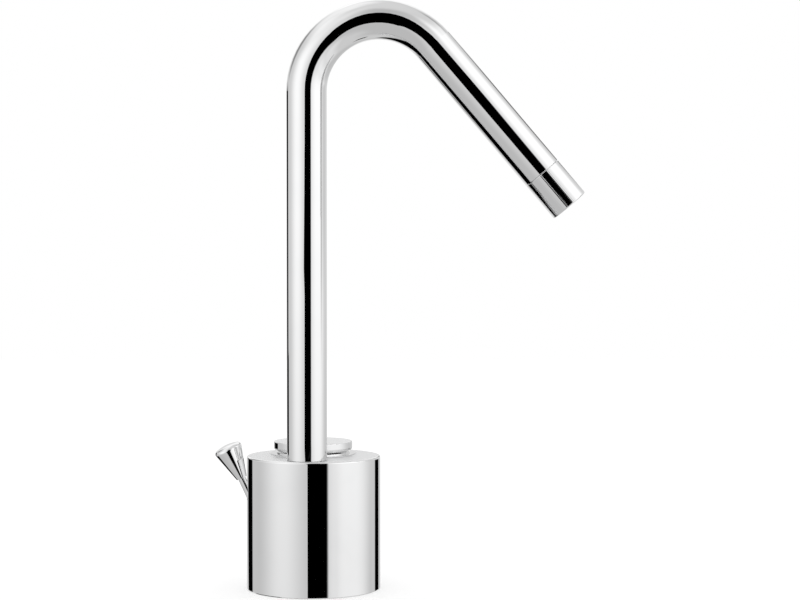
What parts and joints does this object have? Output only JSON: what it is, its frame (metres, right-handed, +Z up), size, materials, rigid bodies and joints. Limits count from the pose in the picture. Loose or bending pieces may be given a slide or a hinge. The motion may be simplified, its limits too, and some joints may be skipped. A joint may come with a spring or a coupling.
{
  "type": "basin mixer tap",
  "caption": "Deck-mounted basin mixer: cylindrical body, swivelling swan-neck spout with aerator, rotary control disc on top and an inclined pop-up waste pull rod with a flared knob.",
  "frame": {"origin": "on the body's axis, in the plane of the deck that its foot stands on", "axes": "+Z up along the body; +X the way the spout reaches at rest; the spout's stem is on the -Y side of the body and the control disc on the +Y side"},
  "size_m": [0.1848, 0.068, 0.2962],
  "materials": {
    "chrome": "polished",
    "brass": "satin",
    "stainless": "satin",
    "rubber": "matte",
    "white_plastic": "satin",
    "grey_plastic": "satin",
    "alumina": "satin"
  },
  "bodies": {
    "body": {"tap_body": "chrome", "base_gasket": "rubber", "spout_glide_ring": "white_plastic", "spout_stop_pin": "stainless", "cartridge_base": "grey_plastic", "port_seals": "rubber", "fixed_ceramic_disc": "alumina", "cartridge_housing": "grey_plastic", "cartridge_nut": "brass", "trim_ring": "chrome", "trim_o_ring": "rubber", "rod_guide_bushes": "white_plastic", "rod_wiper": "rubber"},
    "spout": {"spout_tube": "chrome", "spout_spigot": "brass", "spigot_o_rings": "rubber", "spout_thrust_washer": "white_plastic", "spout_circlip": "stainless", "outlet_nipple": "brass", "aerator_sleeve": "chrome", "aerator_seal": "rubber", "aerator_housing": "grey_plastic", "aerator_screen": "stainless", "stream_former": "white_plastic"},
    "control": {"control_disc": "chrome", "disc_adaptor": "white_plastic", "adaptor_screw": "stainless", "grip_o_ring": "rubber", "cartridge_spindle": "brass", "spindle_o_ring": "rubber", "disc_carrier": "white_plastic", "moving_ceramic_disc": "alumina"},
    "pull": {"pull_rod": "chrome", "pull_knob": "chrome", "rod_stop_clip": "stainless"}
  },
  "joints": [
    {"name": "spout_swivel", "type": "hinge", "parent": "body", "child": "spout", "pos_m": [-0.0023, -0.023, 0.0676], "axis": [0, 0, 1], "range_deg": [-60, 60]},
    {"name": "control_turn", "type": "hinge", "parent": "body", "child": "control", "pos_m": [-0.0007, 0.01, 0.0697], "axis": [0, 0, 1], "range_deg": [0, 120]},
    {"name": "rod_pull", "type": "slide", "parent": "body", "child": "pull", "axis": [-0.4226, 0, 0.9063], "range_m": [0, 0.018]}
  ]
}
